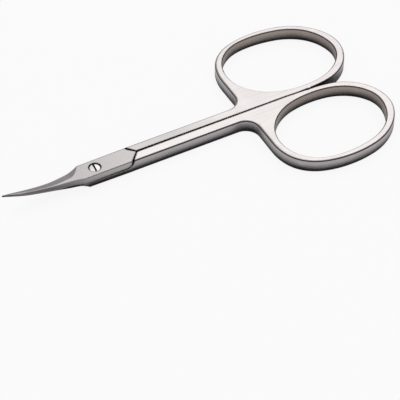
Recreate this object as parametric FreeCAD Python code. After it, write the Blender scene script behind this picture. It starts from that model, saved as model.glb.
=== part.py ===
import FreeCAD, Part
import math
import os

from FreeCAD import Vector

# Cuticle scissors: two forged halves, each a finger ring, a shank, a lap plate and a slender curved blade,
# which cross at the lap plates and turn on a slotted screw.
# Sizes are in millimetres. X runs from the tips to the rings, Y across the rings, and the tool lies on z = 0.

# Whole tool
overall_length = 90.6
blade_reach = 22.0
handle_thickness = 3.5
shank_width = 2.42

# Finger rings
ring_hole_length = 26.8
ring_hole_width = 20.1
rear_rim_width = 2.1
seam_web = 1.6
shank_fillet = 3.35
top_edge_round = 0.5
bottom_edge_round = 0.6
hole_top_chamfer = 0.2
hole_bottom_chamfer = 0.5

# Seam between the closed shanks
seam_gap_front = 0.45
seam_gap_back = 0.24
seam_allowance = 1.6

# Lap joint: plates with an arrow-shaped back edge, one above the other
lap_reach = 10.5
lap_arrow = 2.15
lap_gap = 0.34
lap_clearance = 0.14
lap_corner_round = 1.5
plate_back_sink = 0.04
plate_edge_sink = 0.34

# Blades: a shoulder, then a slender taper that curves up to the tip
back_shoulder_reach = 3.4
upper_edge_shoulder_reach = 2.9
lower_edge_shoulder_reach = 1.95
shoulder_width = 2.3
taper_reach = 9.2
taper_width = 1.5
tip_width = 0.12
tip_rise = 2.94
tip_thickness = 0.13
lap_curve_reach = 3.4
back_curve_reach = 4.6
bevel_angle = 28.0
bevel_run_in = 3.5
edge_land = 0.1

# Pivot screw
head_diameter = 2.36
head_height = 0.65
head_drop = 0.2
head_chamfer = 0.1
recess_clearance = 0.23
bearing_diameter = 1.8
bearing_clearance = 0.03
end_play = 0.04
thread_diameter = 1.4
thread_depth = 0.05
slot_width = 0.4
slot_depth = 0.4
slot_turn = 6.5

# Room that cutting tools run past what they cut, how close arcs keep to a drawn curve,
# and how close two places count as one
overrun = 1.0
arc_tolerance = 0.05
same_place = 0.001

# Places on the ring hole, as shares of its half length and half width
hole_shares = [
    (1.0, 0.0), (0.70, 0.70), (0.0, 1.0), (-0.76, 0.76),
    (-1.0, 0.0), (-0.705, -0.705), (0.0, -1.0), (0.742, -0.742),
]

# Places round the rim from its front to the seam, each with its share of the rim's width at the rear
rim_shares = [
    (-1.0, 0.0, 0.86), (-0.76, 0.76, 0.72), (0.0, 1.0, 0.67), (0.70, 0.70, 0.745),
    (1.0, 0.0, 1.0), (0.742, -0.742, 0.90), (0.40, -0.917, 0.955),
]

# Place on the ring hole past which the rim's outline runs on straight beyond the seam
seam_tail_shares = (-0.40, -0.917)

# Blade outline between shoulder and taper, as shares of the run ahead and of the width lost
back_shoulder_shares = [(0.36, 0.60)]
edge_shoulder_shares = [(0.60, 0.36)]

# Blade outline between taper and tip, as shares of the run ahead and of the width lost
taper_shares = [(0.5, 0.45)]

# Places along the cutting edge where its grind is set, as shares of the edge's outline
grind_shares = [0.0, 0.07, 0.14, 0.21, 0.3, 0.5, 0.75, 1.0]

# Places that follow from the sizes
up = Vector(0, 0, 1)
pivot_x = blade_reach - overall_length / 2
tip_x = pivot_x - blade_reach
ring_x = overall_length / 2 - rear_rim_width - ring_hole_length / 2
ring_centre = Vector(ring_x, seam_web + ring_hole_width / 2, 0)
arrow_x = pivot_x + lap_reach
arrow_corner_x = arrow_x - lap_arrow
lap_level = handle_thickness / 2
tip_level = lap_level + tip_rise
half_plate = handle_thickness / 2 - plate_back_sink
plate_fall = (plate_edge_sink - plate_back_sink) / (2 * shank_width)
plate_middle_sink = (plate_back_sink + plate_edge_sink) / 2
head_top = handle_thickness - plate_middle_sink - head_drop
head_under = head_top - head_height
upper = 1
lower = -1


def ring_point(along_share, across_share, rim):
    """A point on the ring hole's outline, moved outwards by the rim's width."""
    half_length = ring_hole_length / 2
    half_width = ring_hole_width / 2
    outwards = Vector(along_share / half_length, across_share / half_width, 0).normalize()
    on_hole = Vector(along_share * half_length, across_share * half_width, 0)
    return ring_centre + on_hole + outwards * rim


def line(start, end):
    """A straight edge."""
    return Part.LineSegment(start, end).toShape()


def prism(points, height_vector):
    """A solid with a straight-sided outline."""
    return Part.Face(Part.makePolygon(points + points[:1])).extrude(height_vector)


def smooth_arcs(points, closed):
    """Arcs that meet without corners and follow a smooth curve through points."""
    curve = Part.BSplineCurve()
    curve.interpolate(Points=points, PeriodicFlag=closed)
    return [arc.toShape() for arc in curve.toBiArcs(arc_tolerance)]


def level_edges(solid, level):
    """The edges of a solid that lie flat at one level."""
    found = []
    for edge in solid.Edges:
        box = edge.BoundBox
        if abs(box.ZMin - level) < same_place and abs(box.ZMax - level) < same_place:
            found.append(edge)
    return found


def seam_half_gap(x):
    """Half the gap between the closed shanks, which narrows from the lap joint to the rings."""
    run = (x - arrow_x) / (ring_centre.x - arrow_x)
    return (seam_gap_front + (seam_gap_back - seam_gap_front) * run) / 2


def handle_outline(front_x):
    """The forged outline of shank and ring, with metal left on beyond the seam."""
    rim = [ring_point(along, across, rear_rim_width * share) for along, across, share in rim_shares]
    rim.append(ring_point(0, -1, seam_web))
    rim.append(ring_point(*seam_tail_shares, seam_web + seam_allowance))
    rim_arcs = smooth_arcs(rim, False)
    down = rim_arcs[0].tangentAt(rim_arcs[0].FirstParameter) * -1
    forward = rim_arcs[-1].tangentAt(rim_arcs[-1].LastParameter)
    fillet_centre_y = shank_width + shank_fillet
    beside_centre = rim[0] + down * ((fillet_centre_y - rim[0].y) / down.y)
    fillet_centre = beside_centre + Vector(shank_fillet / down.y, 0, 0)
    fillet_start = fillet_centre - Vector(0, shank_fillet, 0)
    fillet_end = fillet_centre + Vector(-down.y, down.x, 0) * shank_fillet
    to_middle = (fillet_start + fillet_end - fillet_centre * 2).normalize()
    front_outer = Vector(front_x, shank_width, 0)
    front_inner = rim[-1] + forward * ((front_x - rim[-1].x) / forward.x)
    return Part.Wire([
        line(front_outer, fillet_start),
        Part.Arc(fillet_start, fillet_centre + to_middle * shank_fillet, fillet_end).toShape(),
        line(fillet_end, rim[0]),
        *rim_arcs,
        line(rim[-1], front_inner),
        line(front_inner, front_outer),
    ])


def handle_blank(front_x):
    """Shank and ring at full thickness, edges eased, ground flat along the seam."""
    blank = Part.Face(handle_outline(front_x)).extrude(up * handle_thickness)
    for level, radius in ((handle_thickness, top_edge_round), (0, bottom_edge_round)):
        edges = level_edges(blank, level)
        long_edges = [edge for edge in edges if edge.BoundBox.XMax > front_x + same_place]
        blank = blank.makeFillet(radius, long_edges)
    hole_outline = smooth_arcs([ring_point(along, across, 0) for along, across in hole_shares], True)
    hole = Part.Face(Part.Wire(hole_outline)).extrude(up * handle_thickness)
    blank = blank.cut(hole)
    for level, width in ((handle_thickness, hole_top_chamfer), (0, hole_bottom_chamfer)):
        edges = level_edges(blank, level)
        hole_edges = [edge for edge in edges if edge.distToShape(hole)[0] < same_place]
        blank = blank.makeChamfer(width, hole_edges)
    start_x = front_x - overrun
    end_x = overall_length / 2
    beyond_seam = prism([
        Vector(start_x, seam_half_gap(start_x), -overrun),
        Vector(end_x, seam_half_gap(end_x), -overrun),
        Vector(end_x, -overall_length, -overrun),
        Vector(start_x, -overall_length, -overrun),
    ], up * (handle_thickness + 2 * overrun))
    return blank.cut(beyond_seam)


def arrow_direction(side):
    """The way the arrow line runs on one side of the seam, from its point to its corner."""
    return Vector(arrow_corner_x - arrow_x, side * shank_width, 0).normalize()


def arrow_block(side, low, high):
    """A block ahead of the arrow line, on the side of the seam where the half's own shank lies."""
    along = arrow_direction(side)
    ahead = Vector(-along.y * side, along.x * side, 0)
    start = Vector(arrow_x, 0, low) - along * lap_reach
    end = Vector(arrow_corner_x, side * shank_width, low) + along * lap_reach
    return prism([start, end, end + ahead * lap_reach, start + ahead * lap_reach], up * (high - low))


def arrow_edge(solid, level, side):
    """The rearmost edge at one level that runs along the arrow line on one side of the seam."""
    along = arrow_direction(side)
    edges = level_edges(solid, level)
    found = [edge for edge in edges if edge.tangentAt(edge.FirstParameter).cross(along).Length < same_place]
    return max(found, key=lambda edge: edge.CenterOfMass.x)


def handle(side):
    """Shank and ring of one half, cut back at the arrow line for its own plate and for the other half's."""
    blank = handle_blank(arrow_corner_x - lap_corner_round - overrun)
    inside_plate = lap_level + side * half_plate / 2
    lap_face = lap_level + side * lap_clearance / 2
    if side == upper:
        step = arrow_block(side, inside_plate, handle_thickness + overrun)
        notch = arrow_block(side, -overrun, lap_face)
    else:
        blank = blank.mirror(Vector(0, 0, 0), Vector(0, 1, 0))
        step = arrow_block(side, -overrun, inside_plate)
        notch = arrow_block(side, lap_face, handle_thickness + overrun)
    notch = notch.makeFillet(lap_corner_round, [arrow_edge(notch, lap_face, side)])
    return blank.cut(step).cut(notch)


def flank(side, points):
    """One long edge of a blade, through places given ahead of the pivot and out from the middle."""
    curve = Part.BSplineCurve()
    curve.interpolate(Points=[Vector(pivot_x - ahead, side * out, 0) for ahead, out in points])
    return curve


def flank_points(shoulder_reach, start_width, shoulder_shares):
    """Places along a blade's long edge, from the shoulder to the tip."""
    points = [(shoulder_reach, start_width)]
    for run, loss in shoulder_shares + [(1, 1)]:
        ahead = shoulder_reach + (taper_reach - shoulder_reach) * run
        points.append((ahead, start_width + (taper_width - start_width) * loss))
    for run, loss in taper_shares + [(1, 1)]:
        ahead = taper_reach + (blade_reach - taper_reach) * run
        points.append((ahead, taper_width + (tip_width - taper_width) * loss))
    return points


def edge_shoulder_reach(side):
    """How far ahead of the pivot a half's cutting edge starts."""
    return upper_edge_shoulder_reach if side == upper else lower_edge_shoulder_reach


def cutting_flank(side):
    """The long edge of a blade that cuts."""
    return flank(side, flank_points(edge_shoulder_reach(side), shoulder_width, edge_shoulder_shares))


def plate_outline(side):
    """Lap plate and blade seen from above."""
    slope = lap_arrow / shank_width
    gap_ahead = lap_gap * math.hypot(lap_arrow, shank_width) / shank_width
    seam = seam_half_gap(arrow_x)
    root_x = arrow_x + lap_arrow
    root = Vector(root_x, side * seam_half_gap(root_x), 0)
    arrow_start = Vector(arrow_x + seam * slope - gap_ahead, side * seam, 0)
    arrow_end = Vector(arrow_corner_x - gap_ahead, -side * shank_width, 0)
    corner = Vector(arrow_corner_x, side * shank_width, 0)
    edge_curve = cutting_flank(side)
    back_curve = flank(-side, flank_points(back_shoulder_reach, shank_width, back_shoulder_shares))
    return Part.Wire([
        line(arrow_start, root),
        line(root, corner),
        line(corner, edge_curve.StartPoint),
        edge_curve.toShape(),
        line(edge_curve.EndPoint, back_curve.EndPoint),
        back_curve.toShape(),
        line(back_curve.StartPoint, arrow_end),
        line(arrow_end, arrow_start),
    ])


def height_along(ahead, level, reach, end_level):
    """Height of a face that runs level ahead of the pivot, then curves up to the tip in one arc."""
    run = blade_reach - reach
    rise = end_level - level
    radius = (run ** 2 + rise ** 2) / (2 * rise)
    past = max(ahead - reach, 0)
    return level + radius - math.sqrt(radius ** 2 - past ** 2)


def curved_side(side, y, level, reach, end_level):
    """What lies inwards of such a face, as a flat shape standing along the tool."""
    curve_x = pivot_x - reach
    middle_ahead = (reach + blade_reach) / 2
    tip = Vector(tip_x, y, end_level)
    middle = Vector(pivot_x - middle_ahead, y, height_along(middle_ahead, level, reach, end_level))
    start = Vector(curve_x, y, level)
    arc = Part.Arc(start, middle, tip).toShape()
    past_tip = tip + arc.tangentAt(arc.LastParameter) * overrun
    far_level = -2 * overrun if side == upper else tip_level + 2 * overrun
    rear_x = arrow_x + lap_arrow + overrun
    rear = Vector(rear_x, y, level)
    far_rear = Vector(rear_x, y, far_level)
    far_tip = Vector(past_tip.x, y, far_level)
    return Part.Face(Part.Wire([
        line(rear, start),
        arc,
        line(tip, past_tip),
        line(past_tip, far_tip),
        line(far_tip, far_rear),
        line(far_rear, rear),
    ]))


def bevel_cutter(side):
    """What is ground off a blade outside its cutting edge, running in from the shoulder."""
    curve = cutting_flank(side)
    points = []
    for share in grind_shares:
        place = curve.value(curve.FirstParameter + (curve.LastParameter - curve.FirstParameter) * share)
        ahead = pivot_x - place.x
        left_on = 1 - min((ahead - edge_shoulder_reach(side)) / bevel_run_in, 1)
        lap_height = height_along(ahead, lap_level, lap_curve_reach, tip_level)
        place.z = lap_height + side * (edge_land + half_plate * left_on ** 2)
        points.append(place)
    points.append(points[-1] + (points[-1] - points[-2]).normalize() * overrun)
    ground_edge = Part.BSplineCurve()
    ground_edge.interpolate(Points=points)
    angle = math.radians(bevel_angle)
    inwards = Vector(0, -side * math.cos(angle), side * math.sin(angle))
    outside = ground_edge.toShape()
    outside.translate(inwards * -overrun)
    ground_face = outside.extrude(inwards * (overrun + 2 * handle_thickness))
    return ground_face.extrude(up * (side * 2 * handle_thickness))


def plate_and_blade(side):
    """Lap plate and blade of one half."""
    outline = Part.Face(plate_outline(side))
    outline.translate(up * -overrun)
    block = outline.extrude(up * (tip_level + 2 * overrun))
    outer_level = lap_level + side * half_plate
    lap_face = lap_level + side * lap_clearance / 2
    start_y = -side * (shank_width + overrun)
    across = side * 2 * (shank_width + overrun)
    back_lift = plate_fall * (shank_width + overrun)
    tip_lift = tip_thickness + back_lift
    outer_side = curved_side(
        side, start_y, outer_level + side * plate_fall * overrun, back_curve_reach, tip_level + side * tip_lift)
    block = block.common(outer_side.extrude(Vector(0, 1, -plate_fall) * across))
    lap_tip = tip_level + side * lap_clearance / 2
    beyond_lap = curved_side(side, start_y, lap_face, lap_curve_reach, lap_tip)
    block = block.cut(beyond_lap.extrude(Vector(0, across, 0)))
    block = block.cut(bevel_cutter(side))
    return block.makeFillet(lap_corner_round - lap_gap, [arrow_edge(block, lap_face, -side)])


def disc(radius, low, high):
    """A round piece on the pivot's axis."""
    return Part.makeCylinder(radius, high - low, Vector(pivot_x, 0, low))


def half(side):
    """One half of the scissors, drilled for the screw."""
    body = handle(side).fuse(plate_and_blade(side)).removeSplitter()
    top = handle_thickness + overrun
    if side == upper:
        bore = disc(bearing_diameter / 2 + bearing_clearance, -overrun, top)
        recess = disc(head_diameter / 2 + recess_clearance, head_under - end_play, top)
        return body.cut(bore).cut(recess)
    return body.cut(disc(thread_diameter / 2 - thread_depth, -overrun, top))


def screw():
    """The slotted pivot screw: head, plain bearing, thread."""
    seat = lap_level - lap_clearance / 2
    head = disc(head_diameter / 2, head_under, head_top)
    head = head.makeChamfer(head_chamfer, level_edges(head, head_top))
    bearing = disc(bearing_diameter / 2, seat, head_under)
    thread = disc(thread_diameter / 2, plate_middle_sink, seat)
    body = head.fuse(bearing).fuse(thread).removeSplitter()
    slot_corner = Vector(pivot_x - slot_width / 2, -head_diameter, head_top - slot_depth)
    slot = Part.makeBox(slot_width, 2 * head_diameter, slot_depth + overrun, slot_corner)
    slot.rotate(Vector(pivot_x, 0, 0), up, -slot_turn)
    return body.cut(slot)


if __name__ == "__main__":
    os.makedirs("parts", exist_ok=True)
    half(upper).exportStep("parts/upper_half.step")
    half(lower).exportStep("parts/lower_half.step")
    screw().exportStep("parts/pivot_screw.step")
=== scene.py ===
"""Looks of the cuticle scissors: ground and satin steel, a turned screw, and a plain white studio."""

import logging
import math
from dataclasses import dataclass, replace
from enum import Enum

import bmesh
import bpy
from mathutils import Matrix, Vector


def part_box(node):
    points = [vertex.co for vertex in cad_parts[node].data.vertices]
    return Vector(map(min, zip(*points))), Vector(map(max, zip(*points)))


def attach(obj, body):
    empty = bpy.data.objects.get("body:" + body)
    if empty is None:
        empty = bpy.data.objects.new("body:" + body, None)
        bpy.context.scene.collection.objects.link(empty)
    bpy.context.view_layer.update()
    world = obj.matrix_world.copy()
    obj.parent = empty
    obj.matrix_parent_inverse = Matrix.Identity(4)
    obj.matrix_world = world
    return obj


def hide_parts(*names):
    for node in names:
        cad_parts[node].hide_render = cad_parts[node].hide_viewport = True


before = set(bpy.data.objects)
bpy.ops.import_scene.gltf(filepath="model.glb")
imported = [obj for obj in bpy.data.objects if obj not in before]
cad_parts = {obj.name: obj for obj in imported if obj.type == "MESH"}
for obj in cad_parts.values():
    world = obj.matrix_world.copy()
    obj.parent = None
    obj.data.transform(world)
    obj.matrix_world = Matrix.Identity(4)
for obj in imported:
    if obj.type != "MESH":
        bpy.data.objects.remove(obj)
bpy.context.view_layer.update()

log = logging.getLogger("cuticle_scissors")

MM = 0.001
WHITE = (1.0, 1.0, 1.0, 1.0)

# The middle of each finger hole lies this far behind the tool's middle and to either side of its seam.
HOLE_X = 29.8 * MM
HOLE_Y = 11.65 * MM

Colour = tuple[float, float, float]
Range = tuple[float, float]


class Slot(Enum):
    """The record's material slots."""

    HALF = "half_steel"
    SCREW = "screw_steel"


class GrainRun(Enum):
    """How a grind is stretched: shares of its fineness along X, Y and Z."""

    LENGTHWISE = (0.03, 1.0, 1.0)
    ROUND_THE_WALL = (0.06, 0.06, 1.0)


def set_inputs(node: bpy.types.Node, values: dict[str, object]) -> None:
    """Sets unlinked inputs of a node.

    Args:
        node: The node to set.
        values: Input name to value.
    """
    for name, value in values.items():
        node.inputs[name].default_value = value


def heading(azimuth: float, elevation: float) -> Vector:
    """Finds the direction from the tool towards a point behind, beside or above it.

    Args:
        azimuth: Degrees from +Y, behind the tool, round to +X, on its right.
        elevation: Degrees above the floor.

    Returns:
        The direction, of length 1.
    """
    turn = math.radians(azimuth)
    rise = math.radians(elevation)
    return Vector((
        math.sin(turn) * math.cos(rise),
        math.cos(turn) * math.cos(rise),
        math.sin(rise),
    ))


def hang(thing: bpy.types.Object, place: Vector, back: Vector) -> None:
    """Puts a lamp or a camera in the scene.

    Args:
        thing: What is hung.
        place: Where it is hung.
        back: The direction that it has its back to.
    """
    thing.location = place
    thing.rotation_mode = "QUATERNION"
    thing.rotation_quaternion = (-back).to_track_quat("-Z", "Y")
    bpy.context.scene.collection.objects.link(thing)


class NodeBuilder:
    """Adds nodes to a tree and joins them."""

    def __init__(self, tree: bpy.types.NodeTree) -> None:
        """Starts on a tree.

        Args:
            tree: The tree that the nodes go to.
        """
        self.tree = tree

    def node(
        self,
        kind: str,
        values: dict[str, object] | None = None,
        **settings: object,
    ) -> bpy.types.Node:
        """Adds a node.

        Args:
            kind: The node's type.
            values: Unlinked input values.
            **settings: Properties of the node.

        Returns:
            The new node.
        """
        made = self.tree.nodes.new(kind)
        for name, setting in settings.items():
            setattr(made, name, setting)
        set_inputs(made, values or {})
        return made

    def link(self, source: bpy.types.NodeSocket, target: bpy.types.NodeSocket) -> None:
        """Joins two sockets."""
        self.tree.links.new(source, target)

    def feed(self, term: object, target: bpy.types.NodeSocket) -> None:
        """Gives an input its value.

        Args:
            term: A socket, or a number or colour that stays the same.
            target: The input.
        """
        if isinstance(term, bpy.types.NodeSocket):
            self.link(term, target)
        else:
            target.default_value = (*term, 1.0) if isinstance(term, tuple) else term

    def math(self, operation: str, first: object, second: object = 0.0) -> bpy.types.NodeSocket:
        """Adds a math node.

        Args:
            operation: What the node does.
            first: A socket or a number.
            second: A socket or a number, for an operation that takes two.

        Returns:
            The result's socket.
        """
        made = self.node("ShaderNodeMath", operation=operation)
        self.feed(first, made.inputs[0])
        self.feed(second, made.inputs[1])
        return made.outputs["Value"]

    def vector_math(self, operation: str, *terms: bpy.types.NodeSocket) -> bpy.types.Node:
        """Adds a vector math node.

        Args:
            operation: What the node does.
            *terms: The sockets of its vectors.

        Returns:
            The node, with its vector and its value.
        """
        made = self.node("ShaderNodeVectorMath", operation=operation)
        for place, term in enumerate(terms):
            self.link(term, made.inputs[place])
        return made

    def ramp(self, value: bpy.types.NodeSocket, start: object, full: object) -> bpy.types.NodeSocket:
        """Adds a soft step from 0 to 1.

        Args:
            value: The socket that the step is read from.
            start: Where the result is 0, as a socket or a number.
            full: Where the result is 1, as a socket or a number.

        Returns:
            The result's socket.
        """
        made = self.node("ShaderNodeMapRange", interpolation_type="SMOOTHSTEP")
        self.feed(value, made.inputs["Value"])
        self.feed(start, made.inputs["From Min"])
        self.feed(full, made.inputs["From Max"])
        return made.outputs["Result"]


class GroupBuilder(NodeBuilder):
    """Makes one shader node group with named sockets."""

    def __init__(self, name: str) -> None:
        """Starts an empty group.

        Args:
            name: The group's name.
        """
        super().__init__(bpy.data.node_groups.new(name, "ShaderNodeTree"))
        self.start = self.tree.nodes.new("NodeGroupInput")
        self.end = self.tree.nodes.new("NodeGroupOutput")

    def takes(self, values: tuple[str, ...] = (), vectors: tuple[str, ...] = ()) -> bpy.types.NodeOutputs:
        """Adds inputs.

        Args:
            values: Names of the number inputs.
            vectors: Names of the vector inputs.

        Returns:
            The sockets that the inputs are read from, by name.
        """
        self._sockets("INPUT", values, vectors)
        return self.start.outputs

    def gives(self, values: tuple[str, ...] = (), vectors: tuple[str, ...] = ()) -> bpy.types.NodeInputs:
        """Adds outputs.

        Args:
            values: Names of the number outputs.
            vectors: Names of the vector outputs.

        Returns:
            The sockets that the results go to, by name.
        """
        self._sockets("OUTPUT", values, vectors)
        return self.end.inputs

    def _sockets(self, side: str, values: tuple[str, ...], vectors: tuple[str, ...]) -> None:
        """Adds sockets on one side of the group.

        Args:
            side: INPUT or OUTPUT.
            values: Names of the number sockets.
            vectors: Names of the vector sockets.
        """
        for name in vectors:
            self.tree.interface.new_socket(name, in_out=side, socket_type="NodeSocketVector")
        for name in values:
            self.tree.interface.new_socket(name, in_out=side, socket_type="NodeSocketFloat")


@dataclass
class ShadeGroups:
    """The shared surface effects, each built once."""

    fine_detail: float = 3.0
    fine_roughness: float = 0.65
    soft_detail: float = 2.0
    soft_roughness: float = 0.5
    noise_middle: float = 0.5
    broad_fineness: float = 0.22
    broad_share: float = 0.6
    edge_samples: int = 6
    recess_samples: int = 8
    hole_facing: Range = (0.2, 0.5)

    def __post_init__(self) -> None:
        """Builds every group."""
        self.grain = self._grain()
        self.edges = self._edges()
        self.recesses = self._recesses()
        self.facing = self._facing()
        self.finger_hole = self._finger_hole()
        self.clouds = self._clouds()
        self.turning = self._turning()

    def _grain(self) -> bpy.types.NodeTree:
        """Fine parallel scratches left by a grinding belt.

        Returns:
            The group, with a height and a signed unevenness.
        """
        group = GroupBuilder("Grinding Grain")
        given = group.takes(values=("Fineness",), vectors=("Place", "Stretch"))
        results = group.gives(values=("Height", "Unevenness"))
        stretched = group.vector_math("MULTIPLY", given["Place"], given["Stretch"]).outputs["Vector"]
        fine = self._noise(group, stretched, given["Fineness"], self.fine_detail, self.fine_roughness)
        broad_scale = group.math("MULTIPLY", given["Fineness"], self.broad_fineness)
        broad = self._noise(group, stretched, broad_scale, self.soft_detail, self.soft_roughness)
        height = group.math("ADD", fine, group.math("MULTIPLY", broad, self.broad_share))
        group.link(height, results["Height"])
        group.link(group.math("SUBTRACT", broad, self.noise_middle), results["Unevenness"])
        return group.tree

    def _edges(self) -> bpy.types.NodeTree:
        """Where edges are, and the normal they have when softened.

        Returns:
            The group, with a mask of edges, where painted shade and painted highlights go, and a rounded
            normal.
        """
        group = GroupBuilder("Edge Rounding")
        given = group.takes(values=("Radius", "Start", "Full"))
        results = group.gives(values=("Mask",), vectors=("Normal",))
        rounded = group.node("ShaderNodeBevel", samples=self.edge_samples)
        group.link(given["Radius"], rounded.inputs["Radius"])
        surface = group.node("ShaderNodeNewGeometry")
        agreement = group.vector_math("DOT_PRODUCT", rounded.outputs["Normal"], surface.outputs["Normal"])
        bend = group.math("SUBTRACT", 1.0, agreement.outputs["Value"])
        group.link(group.ramp(bend, given["Start"], given["Full"]), results["Mask"])
        group.link(rounded.outputs["Normal"], results["Normal"])
        return group.tree

    def _recesses(self) -> bpy.types.NodeTree:
        """Where gaps, corners and the foot of walls by the floor are shut in, for the painted shade there.

        Returns:
            The group, with a mask that is 1 deep in a gap.
        """
        group = GroupBuilder("Occlusion Shade")
        given = group.takes(values=("Reach", "Start", "Full"))
        results = group.gives(values=("Mask",))
        openness = group.node("ShaderNodeAmbientOcclusion", samples=self.recess_samples)
        group.link(given["Reach"], openness.inputs["Distance"])
        closed = group.math("SUBTRACT", 1.0, openness.outputs["AO"])
        group.link(group.ramp(closed, given["Start"], given["Full"]), results["Mask"])
        return group.tree

    def _facing(self) -> bpy.types.NodeTree:
        """Which faces lie flat and which are rounded edges, by how far their normal leans from upright.

        Returns:
            The group, with a mask of flats and a mask of the roundings between flats and walls.
        """
        group = GroupBuilder("Flats And Roundings")
        given = group.takes(values=("Flat Start", "Flat Full", "Rounding Foot", "Rounding Top", "Softness"))
        results = group.gives(values=("Flats", "Roundings"))
        surface = group.node("ShaderNodeNewGeometry")
        parts = group.node("ShaderNodeSeparateXYZ")
        group.link(surface.outputs["Normal"], parts.inputs["Vector"])
        upright = group.math("ABSOLUTE", parts.outputs["Z"])
        group.link(group.ramp(upright, given["Flat Start"], given["Flat Full"]), results["Flats"])
        foot = group.math("ADD", given["Rounding Foot"], given["Softness"])
        top = group.math("SUBTRACT", given["Rounding Top"], given["Softness"])
        above_wall = group.ramp(upright, given["Rounding Foot"], foot)
        below_flat = group.ramp(upright, given["Rounding Top"], top)
        group.link(group.math("MULTIPLY", above_wall, below_flat), results["Roundings"])
        return group.tree

    def _finger_hole(self) -> bpy.types.NodeTree:
        """Which walls face the middle of the finger hole.

        Returns:
            The group, with a mask that is 1 on the wall of the hole.
        """
        group = GroupBuilder("Finger Hole")
        given = group.takes(values=("Reach",), vectors=("Place", "Centre"))
        results = group.gives(values=("Mask",))
        inward = group.vector_math("SUBTRACT", given["Centre"], given["Place"]).outputs["Vector"]
        distance = group.vector_math("LENGTH", inward).outputs["Value"]
        near = group.math("LESS_THAN", distance, given["Reach"])
        straight_in = group.vector_math("NORMALIZE", inward).outputs["Vector"]
        surface = group.node("ShaderNodeTexCoord")
        agreement = group.vector_math("DOT_PRODUCT", straight_in, surface.outputs["Normal"])
        inside = group.ramp(agreement.outputs["Value"], *self.hole_facing)
        group.link(group.math("MULTIPLY", near, inside), results["Mask"])
        return group.tree

    def _clouds(self) -> bpy.types.NodeTree:
        """Slow unevenness of a hand-held polish.

        Returns:
            The group, with a signed value.
        """
        group = GroupBuilder("Polish Clouds")
        given = group.takes(values=("Scale",), vectors=("Place",))
        results = group.gives(values=("Unevenness",))
        noise = self._noise(group, given["Place"], given["Scale"], self.soft_detail, self.soft_roughness)
        group.link(group.math("SUBTRACT", noise, self.noise_middle), results["Unevenness"])
        return group.tree

    def _turning(self) -> bpy.types.NodeTree:
        """Fine rings that a lathe tool leaves round an upright axis.

        Returns:
            The group, with a height.
        """
        group = GroupBuilder("Turning Rings")
        given = group.takes(values=("Pitch",), vectors=("Place", "Axis Place"))
        results = group.gives(values=("Height",))
        offset = group.vector_math("SUBTRACT", given["Place"], given["Axis Place"]).outputs["Vector"]
        level = group.vector_math("MULTIPLY", offset)
        level.inputs[1].default_value = (1.0, 1.0, 0.0)
        radius = group.vector_math("LENGTH", level.outputs["Vector"]).outputs["Value"]
        turns = group.math("DIVIDE", radius, given["Pitch"])
        group.link(group.math("SINE", group.math("MULTIPLY", turns, math.tau)), results["Height"])
        return group.tree

    @staticmethod
    def _noise(
        group: GroupBuilder,
        place: bpy.types.NodeSocket,
        scale: bpy.types.NodeSocket,
        detail: float,
        roughness: float,
    ) -> bpy.types.NodeSocket:
        """Adds a noise texture to a group.

        Args:
            group: The group being made.
            place: Where the noise is read.
            scale: How fine it is.
            detail: How many finer layers it has.
            roughness: How strong these are.

        Returns:
            The noise's socket, from 0 to 1.
        """
        made = group.node("ShaderNodeTexNoise", {"Detail": detail, "Roughness": roughness})
        group.link(place, made.inputs["Vector"])
        group.link(scale, made.inputs["Scale"])
        return made.outputs["Fac"]


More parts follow.
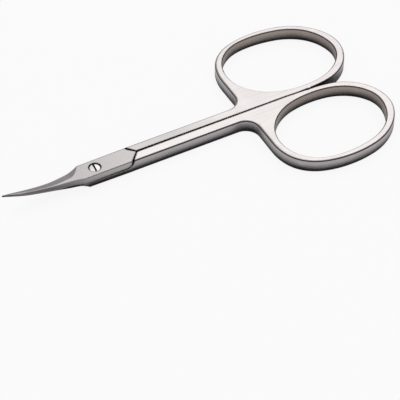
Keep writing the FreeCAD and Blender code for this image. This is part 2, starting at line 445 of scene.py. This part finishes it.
class MaterialBuilder(NodeBuilder):
    """Makes one material around a Principled shader."""

    def __init__(self, name: str) -> None:
        """Starts a material with only its shader and its output.

        Args:
            name: The material's name.
        """
        self.material = bpy.data.materials.new(name)
        self.material.use_nodes = True
        super().__init__(self.material.node_tree)
        self.tree.nodes.clear()
        self.shader = self.node("ShaderNodeBsdfPrincipled")
        self.output = self.node("ShaderNodeOutputMaterial")
        self.link(self.shader.outputs["BSDF"], self.output.inputs["Surface"])
        self.place = self.node("ShaderNodeTexCoord").outputs["Object"]

    def group(self, tree: bpy.types.NodeTree, values: dict[str, object]) -> bpy.types.NodeOutputs:
        """Places a shared effect in the material, and gives it the surface's place if it takes one.

        Args:
            tree: The effect's group.
            values: Its own values here.

        Returns:
            The group's results, by name.
        """
        made = self.node("ShaderNodeGroup", node_tree=tree)
        set_inputs(made, values)
        if "Place" in made.inputs:
            self.link(self.place, made.inputs["Place"])
        return made.outputs

    def mix_values(self, mask: object, low: object, high: object) -> bpy.types.NodeSocket:
        """Blends two numbers by a mask.

        Args:
            mask: A socket or a number from 0 to 1.
            low: What shows where the mask is 0.
            high: What shows where the mask is 1.

        Returns:
            The blend's socket.
        """
        return self._mix("FLOAT", mask, low, high)

    def mix_colours(self, mask: object, low: object, high: object) -> bpy.types.NodeSocket:
        """Blends two colours by a mask, as mix_values does."""
        return self._mix("RGBA", mask, low, high)

    def _mix(self, kind: str, mask: object, low: object, high: object) -> bpy.types.NodeSocket:
        """Adds a mix node of one kind and returns its result's socket."""
        made = self.node("ShaderNodeMix", data_type=kind)
        sockets = [socket for socket in made.inputs if socket.enabled]
        for socket, term in zip(sockets, (mask, low, high)):
            self.feed(term, socket)
        return next(socket for socket in made.outputs if socket.enabled)

    def scale_colour(
        self, colour: bpy.types.NodeSocket, share: bpy.types.NodeSocket
    ) -> bpy.types.NodeSocket:
        """Makes a colour lighter or darker.

        Args:
            colour: The colour's socket.
            share: What it is multiplied by.

        Returns:
            The new colour's socket.
        """
        made = self.node("ShaderNodeVectorMath", operation="SCALE")
        self.link(colour, made.inputs[0])
        self.link(share, made.inputs["Scale"])
        return made.outputs["Vector"]

    def bump(self, height: bpy.types.NodeSocket, depth: float, normal: bpy.types.NodeSocket) -> None:
        """Roughens the shader's normal.

        Args:
            height: The relief, from about 0 to 1.
            depth: How deep it is, in metres.
            normal: The normal it stands on.
        """
        made = self.node("ShaderNodeBump", {"Strength": 1.0, "Distance": depth})
        self.link(height, made.inputs["Height"])
        self.link(normal, made.inputs["Normal"])
        self.link(made.outputs["Normal"], self.shader.inputs["Normal"])


@dataclass(frozen=True)
class Closeness:
    """How shut in a surface is where painted shade darkens it.

    The reach is how far off other surfaces count. Start and full are the shares of the view that they take
    up where the painted shade starts and where it is full.
    """

    reach: float
    start: float
    full: float

    def values(self) -> dict[str, object]:
        """Returns the inputs of the recess effect."""
        return {"Reach": self.reach, "Start": self.start, "Full": self.full}


@dataclass(frozen=True)
class EdgeBand:
    """How wide a rounded edge is, for its rounded normal and for the painted shade or highlight along it,
    and the bends of the surface at which it starts and is full.
    """

    radius: float
    start: float = 0.03
    full: float = 0.10

    def values(self) -> dict[str, object]:
        """Returns the inputs of the edge effect."""
        return {"Radius": self.radius, "Start": self.start, "Full": self.full}


@dataclass(frozen=True)
class HalfMasks:
    """Where each kind of surface is on one half, as sockets of its material."""

    flats: bpy.types.NodeSocket
    roundings: bpy.types.NodeSocket
    borders: bpy.types.NodeSocket
    gaps: bpy.types.NodeSocket
    corners: bpy.types.NodeSocket
    feet: bpy.types.NodeSocket
    hole: bpy.types.NodeSocket
    shank: bpy.types.NodeSocket
    blade: bpy.types.NodeSocket
    tip: bpy.types.NodeSocket
    clouds: bpy.types.NodeSocket
    grain: bpy.types.NodeSocket


@dataclass(frozen=True)
class HalfFinish:
    """Forged steel: bright flats; satin walls, partly darkened as painted shade; painted shade along edges,
    in recesses and at the foot; and painted highlights along the blade's edges.
    """

    name: str
    flat_colour: Colour
    shank_shade_tone: Colour
    wall_satin_and_shade: Colour
    hole_wall_shade: Colour
    blade_wall_shade: Colour
    edge_shade_colour: Colour
    blade_ridge_highlight: Colour
    recess_shade_colour: Colour
    flat_roughness: float
    wall_roughness: float
    flat_run: GrainRun = GrainRun.LENGTHWISE
    wall_run: GrainRun = GrainRun.ROUND_THE_WALL
    fineness: float = 9000.0
    depth: float = 0.0006 * MM
    grain_contrast: float = 0.16
    grain_shade: float = 0.30
    cloud_scale: float = 220.0
    cloud_contrast: float = 0.10
    cloud_shade: float = 0.22
    flat_lean: Range = (0.85, 0.98)
    rounding_lean: Range = (0.14, 0.86)
    rounding_softness: float = 0.24
    edge: EdgeBand = EdgeBand(0.10 * MM)
    border: EdgeBand = EdgeBand(0.50 * MM)
    edge_strength: float = 0.95
    gap: Closeness = Closeness(0.9 * MM, start=0.12, full=0.50)
    corner: Closeness = Closeness(6.0 * MM, start=0.22, full=0.44)
    corner_strength: float = 0.95
    foot: Closeness = Closeness(2.5 * MM, start=0.06, full=0.26)
    hole_reach: float = 15.0 * MM
    shank_fade: Range = (9.0 * MM, -3.0 * MM)
    blade_fade: Range = (-19.0 * MM, -36.0 * MM)
    tip_fade: Range = (-41.3 * MM, -43.8 * MM)

    def material(self, groups: ShadeGroups, hole_centre: Vector) -> bpy.types.Material:
        """Builds the finish.

        Args:
            groups: The shared effects.
            hole_centre: The middle of the half's finger hole.

        Returns:
            The material.
        """
        made = MaterialBuilder(self.name)
        flat_start, flat_full = self.flat_lean
        rounding_foot, rounding_top = self.rounding_lean
        facing = made.group(groups.facing, {
            "Flat Start": flat_start,
            "Flat Full": flat_full,
            "Rounding Foot": rounding_foot,
            "Rounding Top": rounding_top,
            "Softness": self.rounding_softness,
        })
        hole = made.group(groups.finger_hole, {"Centre": tuple(hole_centre), "Reach": self.hole_reach})
        wall_grain, flat_grain = (
            made.group(groups.grain, {"Stretch": run.value, "Fineness": self.fineness})
            for run in (self.wall_run, self.flat_run)
        )
        along = made.node("ShaderNodeSeparateXYZ")
        made.link(made.place, along.inputs["Vector"])
        masks = HalfMasks(
            flats=facing["Flats"],
            roundings=facing["Roundings"],
            borders=made.group(groups.edges, self.border.values())["Mask"],
            gaps=made.group(groups.recesses, self.gap.values())["Mask"],
            corners=made.group(groups.recesses, self.corner.values())["Mask"],
            feet=made.group(groups.recesses, self.foot.values())["Mask"],
            hole=hole["Mask"],
            shank=made.ramp(along.outputs["X"], *self.shank_fade),
            blade=made.ramp(along.outputs["X"], *self.blade_fade),
            tip=made.ramp(along.outputs["X"], *self.tip_fade),
            clouds=made.group(groups.clouds, {"Scale": self.cloud_scale})["Unevenness"],
            grain=made.mix_values(facing["Flats"], wall_grain["Unevenness"], flat_grain["Unevenness"]),
        )
        made.link(self._colour(made, masks), made.shader.inputs["Base Color"])
        made.link(self._roughness(made, masks), made.shader.inputs["Roughness"])
        set_inputs(made.shader, {"Metallic": 1.0})
        height = made.mix_values(masks.flats, wall_grain["Height"], flat_grain["Height"])
        rounded = made.group(groups.edges, self.edge.values())["Normal"]
        made.bump(height, self.depth, rounded)
        return made.material

    def _colour(self, made: MaterialBuilder, masks: HalfMasks) -> bpy.types.NodeSocket:
        """Lays the steel's tones over each other, with the painted shade and painted highlights among them.

        Args:
            made: The material being made.
            masks: Where each kind of surface is.

        Returns:
            The colour's socket.
        """
        # The walls take a darker satin tone that is partly painted shade; the blade's walls are painted
        # darker still, and the finger hole's walls darker and warmer, as painted shade.
        sides = made.mix_colours(masks.blade, self.wall_satin_and_shade, self.blade_wall_shade)
        walls = made.mix_colours(masks.hole, sides, self.hole_wall_shade)
        # Painted shade in inner corners, and at the foot of the walls where they stand near the floor.
        corner_shade = made.math("MULTIPLY", masks.corners, self.corner_strength)
        corner_shaded = made.mix_colours(corner_shade, walls, self.recess_shade_colour)
        foot_shaded = made.mix_colours(masks.feet, corner_shaded, self.recess_shade_colour)
        # The shank and plate take their own tone: darker than the flats on the upper half, as painted
        # shade, and a little lighter on the lower half.
        tops = made.mix_colours(masks.shank, self.flat_colour, self.shank_shade_tone)
        faces = made.mix_colours(masks.flats, foot_shaded, tops)
        streaks = made.math("MULTIPLY", masks.grain, self.grain_shade)
        patches = made.math("MULTIPLY", masks.clouds, self.cloud_shade)
        shade = made.math("ADD", made.math("ADD", streaks, patches), 1.0)
        ground = made.scale_colour(faces, shade)
        # Painted shade: edges and the roundings between flats and walls are darkened, standing in for the
        # dark reflections that rounded edges show.
        turned = made.math("MAXIMUM", masks.borders, masks.roundings)
        edge_shade = made.math("MULTIPLY", turned, self.edge_strength)
        # Painted highlight: on the blade the edges are lighter, as a bright ridge; towards the tip they are
        # painted dark again as shade.
        edge_light_and_shade = made.mix_colours(masks.blade, self.edge_shade_colour, self.blade_ridge_highlight)
        edges = made.mix_colours(masks.tip, edge_light_and_shade, self.edge_shade_colour)
        edge_shaded = made.mix_colours(edge_shade, ground, edges)
        # Painted shade in the gaps between the halves and in other narrow recesses.
        return made.mix_colours(masks.gaps, edge_shaded, self.recess_shade_colour)

    def _roughness(self, made: MaterialBuilder, masks: HalfMasks) -> bpy.types.NodeSocket:
        """Varies the gloss with the grind and the polish.

        Args:
            made: The material being made.
            masks: Where each kind of surface is.

        Returns:
            The roughness's socket.
        """
        base = made.mix_values(masks.flats, self.wall_roughness, self.flat_roughness)
        streaks = made.math("MULTIPLY", masks.grain, self.grain_contrast)
        patches = made.math("MULTIPLY", masks.clouds, self.cloud_contrast)
        return made.math("ADD", base, made.math("ADD", streaks, patches))


@dataclass(frozen=True)
class ScrewFinish:
    """Bright steel turned on a lathe, with painted shade along its edges and in its slot."""

    name: str
    colour: Colour
    edge_shade_colour: Colour
    recess_shade_colour: Colour
    roughness: float
    depth: float = 0.002 * MM
    pitch: float = 0.09 * MM
    cloud_scale: float = 900.0
    cloud_contrast: float = 0.2
    edge: EdgeBand = EdgeBand(0.06 * MM)
    slot: Closeness = Closeness(0.5 * MM, start=0.12, full=0.40)

    def material(self, groups: ShadeGroups, axis_place: Vector) -> bpy.types.Material:
        """Builds the finish.

        Args:
            groups: The shared effects.
            axis_place: A point on the axis it was turned round.

        Returns:
            The material.
        """
        made = MaterialBuilder(self.name)
        edges = made.group(groups.edges, self.edge.values())
        recesses = made.group(groups.recesses, self.slot.values())["Mask"]
        rings = made.group(groups.turning, {"Axis Place": tuple(axis_place), "Pitch": self.pitch})
        clouds = made.group(groups.clouds, {"Scale": self.cloud_scale})["Unevenness"]
        # Painted shade along the screw's edges and in its slot.
        edge_shaded = made.mix_colours(edges["Mask"], self.colour, self.edge_shade_colour)
        made.link(made.mix_colours(recesses, edge_shaded, self.recess_shade_colour), made.shader.inputs["Base Color"])
        drift = made.math("MULTIPLY", clouds, self.cloud_contrast)
        made.link(made.math("ADD", drift, self.roughness), made.shader.inputs["Roughness"])
        set_inputs(made.shader, {"Metallic": 1.0})
        made.bump(rings["Height"], self.depth, edges["Normal"])
        return made.material


@dataclass
class ScissorHalf:
    """One forged half: its CAD solid, dressed."""

    node: str
    finish: HalfFinish
    hole_centre: tuple[float, float, float]

    def dress(self, groups: ShadeGroups) -> None:
        """Gives the half its steel.

        Args:
            groups: The shared effects.
        """
        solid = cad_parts[self.node]
        solid.data.materials.clear()
        solid.data.materials.append(self.finish.material(groups, Vector(self.hole_centre)))
        log.info("%s wears %s", self.node, self.finish.name)


@dataclass
class PivotScrew:
    """The slotted screw that the halves turn on, with a crowned head."""

    node: str
    body: str
    finish: ScrewFinish
    head_height: float = 0.65 * MM
    bearing_diameter: float = 1.8 * MM
    bearing_height: float = 0.7 * MM
    thread_diameter: float = 1.4 * MM
    slot_width: float = 0.4 * MM
    slot_depth: float = 0.4 * MM
    slot_turn: float = 6.5
    crown: float = 0.06 * MM
    end_chamfer: float = 0.12 * MM
    edge_round: float = 0.035 * MM
    round_segments: int = 2
    round_profile: float = 0.5
    rounded_from: float = 40.0
    smooth_below: float = 35.0
    half_sides: int = 40

    def build(self, groups: ShadeGroups) -> None:
        """Makes the screw, dresses it and puts it in the place of its CAD solid.

        Args:
            groups: The shared effects.
        """
        low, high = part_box(self.node)
        middle = (low + high) / 2
        shape = bmesh.new()
        rim = self._head(shape, (high.x - low.x) / 2, high.z)
        self._shank(shape, rim, low.z, high.z)
        self._soften(shape)
        bmesh.ops.recalc_face_normals(shape, faces=shape.faces[:])
        turn = Matrix.Rotation(-math.radians(self.slot_turn), 4, "Z")
        shape.transform(Matrix.Translation((middle.x, middle.y, 0.0)) @ turn)
        mesh = bpy.data.meshes.new("screw")
        shape.to_mesh(mesh)
        shape.free()
        mesh.materials.append(self.finish.material(groups, middle))
        screw = bpy.data.objects.new("screw", mesh)
        bpy.context.scene.collection.objects.link(screw)
        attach(screw, self.body)
        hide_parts(self.node)
        log.info("%s wears %s", self.node, self.finish.name)

    def _head(self, shape: bmesh.types.BMesh, radius: float, top: float) -> list[bmesh.types.BMVert]:
        """Makes the head down to the slot's floor: two crowned lands with the slot between them.

        Args:
            shape: The mesh being made.
            radius: The head's radius.
            top: The height of the crown.

        Returns:
            The round edge at the slot's floor, in order.
        """
        floor = top - self.slot_depth
        half_slot = self.slot_width / 2
        spread = math.acos(half_slot / radius)
        rim: list[bmesh.types.BMVert] = []
        chords: list[list[bmesh.types.BMVert]] = []
        for side in (1.0, -1.0):
            facing = 0.0 if side > 0.0 else math.pi
            steps = range(self.half_sides + 1)
            angles = [facing + spread * (2 * step / self.half_sides - 1) for step in steps]
            arc = [(radius * math.cos(angle), radius * math.sin(angle)) for angle in angles]
            outline = [shape.verts.new((x, y, floor)) for x, y in arc]
            edge = [shape.verts.new((x, y, top - self.crown)) for x, y in arc]
            for step in range(self.half_sides):
                shape.faces.new((outline[step], outline[step + 1], edge[step + 1], edge[step]))
            ridge = shape.verts.new((side * half_slot, 0.0, top))
            shape.faces.new((outline[-1], outline[0], edge[0], ridge, edge[-1]))
            for step in range(self.half_sides):
                shape.faces.new((edge[step], edge[step + 1], ridge))
            rim.extend(outline)
            chords.append([outline[0], outline[-1]])
        shape.faces.new((*chords[0], *chords[1]))
        return rim

    def _shank(
        self, shape: bmesh.types.BMesh, rim: list[bmesh.types.BMVert], bottom: float, top: float
    ) -> None:
        """Makes what lies under the slot's floor: the rest of the head, the bearing and the threaded end.

        Args:
            shape: The mesh being made.
            rim: The head's round edge at the slot's floor.
            bottom: The height of the screw's end.
            top: The height of the crown.
        """
        head_under = top - self.head_height
        bearing_end = head_under - self.bearing_height
        bearing = self.bearing_diameter / 2
        thread = self.thread_diameter / 2
        head = rim[0].co.xy.length
        steps = (
            (head, head_under),
            (bearing, head_under),
            (bearing, bearing_end),
            (thread, bearing_end),
            (thread, bottom + self.end_chamfer),
            (thread - self.end_chamfer, bottom),
        )
        above = rim
        for radius, level in steps:
            ring = [shape.verts.new((*(vert.co.xy.normalized() * radius), level)) for vert in rim]
            for place in range(len(ring)):
                shape.faces.new((above[place - 1], above[place], ring[place], ring[place - 1]))
            above = ring
        shape.faces.new(above)

    def _soften(self, shape: bmesh.types.BMesh) -> None:
        """Rounds the sharp edges and shades the rest smooth.

        Args:
            shape: The mesh being made.
        """
        sharp_angle = math.radians(self.rounded_from)
        bmesh.ops.bevel(
            shape,
            geom=[edge for edge in shape.edges if edge.calc_face_angle(0.0) > sharp_angle],
            offset=self.edge_round,
            offset_type="OFFSET",
            segments=self.round_segments,
            profile=self.round_profile,
            affect="EDGES",
            clamp_overlap=True,
        )
        smooth_angle = math.radians(self.smooth_below)
        for face in shape.faces:
            face.smooth = True
        for edge in shape.edges:
            edge.smooth = edge.calc_face_angle(0.0) < smooth_angle


@dataclass(frozen=True)
class Softbox:
    """A large soft lamp that faces the tool."""

    name: str
    azimuth: float
    elevation: float
    width: float
    height: float
    radiance: float
    distance: float = 1.0

    def place(self) -> None:
        """Hangs the lamp."""
        lamp = bpy.data.lights.new(self.name, "AREA")
        lamp.shape = "RECTANGLE"
        lamp.size = self.width
        lamp.size_y = self.height
        lamp.energy = self.radiance * math.pi * self.width * self.height
        towards = heading(self.azimuth, self.elevation)
        hang(bpy.data.objects.new(self.name, lamp), towards * self.distance, towards)
        log.info("lamp %s placed", self.name)


@dataclass
class Studio:
    """A white table, soft lamps and an evenly lit room."""

    lamps: tuple[Softbox, ...]
    floor_size: float = 4.0
    floor_drop: float = 0.02 * MM
    floor_colour: Colour = (0.95, 0.95, 0.95)
    floor_roughness: float = 0.9
    white_to_camera: float = 0.90
    floor_white_in_steel: float = 0.35
    room_white_in_steel: float = 0.07
    room_light: float = 0.40

    def build(self) -> None:
        """Makes the floor, the room and the lamps."""
        self._floor()
        self._room()
        for lamp in self.lamps:
            lamp.place()

    def _floor(self) -> None:
        """Lays a plain pale floor under the tool."""
        mesh = bpy.data.meshes.new("floor")
        reach = self.floor_size / 2
        corners = [(-reach, -reach), (reach, -reach), (reach, reach), (-reach, reach)]
        mesh.from_pydata([(x, y, -self.floor_drop) for x, y in corners], [], [(0, 1, 2, 3)])
        mesh.materials.append(self._white_paper())
        floor = bpy.data.objects.new("floor", mesh)
        bpy.context.scene.collection.objects.link(floor)
        log.info("floor laid")

    def _white_paper(self) -> bpy.types.Material:
        """Makes the floor's finish: matt paper that shows as white to the camera and in the steel.

        Returns:
            The material, which keeps the share of its shading that the shadows need.
        """
        made = MaterialBuilder("floor_white")
        set_inputs(made.shader, {
            "Base Color": (*self.floor_colour, 1.0),
            "Roughness": self.floor_roughness,
        })
        white = made.node("ShaderNodeEmission", {"Color": WHITE, "Strength": 1.0})
        paper = made.node("ShaderNodeMixShader")
        made.link(self._white_share(made, self.floor_white_in_steel), paper.inputs["Fac"])
        made.link(made.shader.outputs["BSDF"], paper.inputs[1])
        made.link(white.outputs["Emission"], paper.inputs[2])
        made.link(paper.outputs["Shader"], made.output.inputs["Surface"])
        return made.material

    def _room(self) -> None:
        """Lights the tool evenly from all round, and shows as white to the camera beyond the floor."""
        world = bpy.data.worlds.new("room")
        bpy.context.scene.world = world
        world.use_nodes = True
        world.node_tree.nodes.clear()
        made = NodeBuilder(world.node_tree)
        light = made.node("ShaderNodeBackground", {"Color": WHITE, "Strength": self.room_light})
        white = made.node("ShaderNodeBackground", {"Color": WHITE, "Strength": 1.0})
        room = made.node("ShaderNodeMixShader")
        made.link(self._white_share(made, self.room_white_in_steel), room.inputs["Fac"])
        made.link(light.outputs["Background"], room.inputs[1])
        made.link(white.outputs["Background"], room.inputs[2])
        output = made.node("ShaderNodeOutputWorld")
        made.link(room.outputs["Shader"], output.inputs["Surface"])
        log.info("room lit")

    def _white_share(self, made: NodeBuilder, in_steel: float) -> bpy.types.NodeSocket:
        """Works out how much plain white takes the place of a surface's own shading.

        Args:
            made: The node tree to build in.
            in_steel: The share that reflections show.

        Returns:
            The share for the ray at hand, which is 0 for diffuse and shadow rays.
        """
        ray = made.node("ShaderNodeLightPath").outputs
        mirrored = made.math("ADD", ray["Is Glossy Ray"], ray["Is Transmission Ray"])
        seen = made.math("MULTIPLY", ray["Is Camera Ray"], self.white_to_camera)
        seen_in_steel = made.math("MULTIPLY", mirrored, in_steel)
        return made.math("ADD", seen, seen_in_steel)


@dataclass(frozen=True)
class PhotoCamera:
    """The photograph's viewpoint."""

    azimuth: float = 208.21
    elevation: float = 45.21
    distance: float = 415.4 * MM
    aim: tuple[float, float, float] = (-7.94 * MM, -19.91 * MM, 3.5 * MM)
    lens: float = 174.55
    sensor: float = 36.0
    clip_share: float = 100.0

    def place(self) -> None:
        """Sets the scene's camera."""
        data = bpy.data.cameras.new("photo_camera")
        data.lens = self.lens
        data.sensor_width = self.sensor
        data.clip_start = self.distance / self.clip_share
        data.clip_end = self.distance * self.clip_share
        camera = bpy.data.objects.new("photo_camera", data)
        back = heading(self.azimuth, self.elevation)
        hang(camera, Vector(self.aim) + back * self.distance, back)
        bpy.context.scene.camera = camera
        log.info("camera placed")


# Besides the steel's own tones, these hold painted shade for walls, edges and recesses, and a painted
# highlight for the blade's edges.
UPPER_STEEL = HalfFinish(
    name="upper_steel",
    flat_colour=(0.69, 0.652, 0.645),
    shank_shade_tone=(0.57, 0.545, 0.54),
    wall_satin_and_shade=(0.565, 0.52, 0.53),
    hole_wall_shade=(0.43, 0.367, 0.338),
    blade_wall_shade=(0.18, 0.163, 0.168),
    edge_shade_colour=(0.03, 0.028, 0.028),
    blade_ridge_highlight=(0.45, 0.424, 0.42),
    recess_shade_colour=(0.02, 0.019, 0.019),
    flat_roughness=0.22,
    wall_roughness=0.30,
)
LOWER_STEEL = replace(
    UPPER_STEEL,
    name="lower_steel",
    flat_colour=(0.715, 0.672, 0.663),
    shank_shade_tone=(0.755, 0.715, 0.71),
)
SCREW_STEEL = ScrewFinish(
    name="screw_steel",
    colour=(0.84, 0.815, 0.805),
    edge_shade_colour=(0.22, 0.21, 0.205),
    recess_shade_colour=(0.02, 0.019, 0.019),
    roughness=0.22,
)
LAMPS = (
    Softbox("back_softbox", azimuth=52.0, elevation=44.0, width=1.0, height=0.55, radiance=0.83),
    Softbox("top_softbox", azimuth=28.0, elevation=76.0, width=1.3, height=0.5, radiance=1.0),
)


def main() -> None:
    """Dresses the tool and sets the studio round it."""
    logging.basicConfig(level=logging.INFO, format="%(message)s")
    bpy.context.scene.view_settings.view_transform = "Standard"
    groups = ShadeGroups()
    ScissorHalf("upper_half", UPPER_STEEL, (HOLE_X, HOLE_Y, 0.0)).dress(groups)
    ScissorHalf("lower_half", LOWER_STEEL, (HOLE_X, -HOLE_Y, 0.0)).dress(groups)
    PivotScrew("pivot_screw", "lower", SCREW_STEEL).build(groups)
    Studio(LAMPS).build()
    PhotoCamera().place()


if __name__ == "__main__":
    main()
